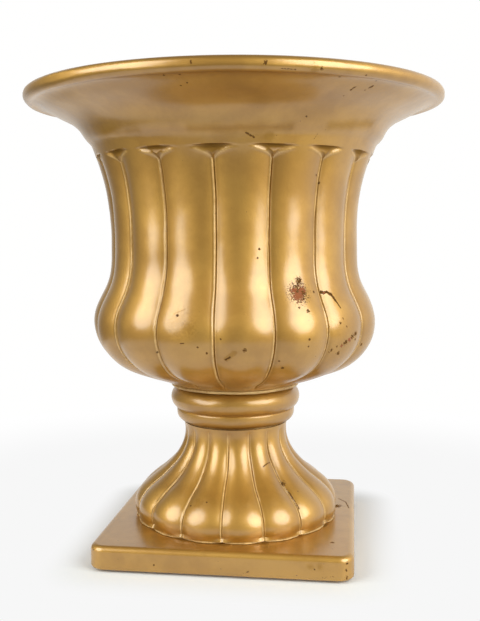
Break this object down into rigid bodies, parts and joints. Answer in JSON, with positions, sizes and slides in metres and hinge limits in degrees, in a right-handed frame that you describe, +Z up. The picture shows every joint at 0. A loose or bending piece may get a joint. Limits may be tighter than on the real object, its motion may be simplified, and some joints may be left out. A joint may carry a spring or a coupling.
{
  "type": "footed garden urn planter",
  "caption": "Footed urn planter: flared rolled rim, fluted belly, double-roll collar, fluted foot and square plinth, held together by a central drain tube.",
  "frame": {"origin": "on the floor under the middle of the square plinth", "axes": "+Z up along the urn's axis, -Y towards the front face of the plinth, +X to the right seen from the front"},
  "size_m": [0.365, 0.365, 0.399],
  "materials": {
    "gold_lacquer_bowl": "satin metallic gold lacquer over a terracotta casting, worn and chipped",
    "gold_lacquer": "satin metallic gold lacquer over a terracotta casting",
    "joint_mortar": "pale joint compound under thin gold lacquer",
    "zinc_steel": "dull zinc plate",
    "black_rubber": "matt black rubber",
    "felt": "dense brown felt"
  },
  "bodies": {
    "root": {"bowl": "gold_lacquer_bowl", "bowl_bed": "joint_mortar", "collar": "gold_lacquer", "neck_bed": "joint_mortar", "foot": "gold_lacquer", "foot_bed": "joint_mortar", "plinth": "gold_lacquer", "drain_tube": "zinc_steel", "top_nut": "zinc_steel", "top_washer": "zinc_steel", "floor_gasket": "black_rubber", "bottom_washer": "zinc_steel", "bottom_nut": "zinc_steel", "pad_front_left": "felt", "pad_front_right": "felt", "pad_back_left": "felt", "pad_back_right": "felt"}
  },
  "joints": []
}
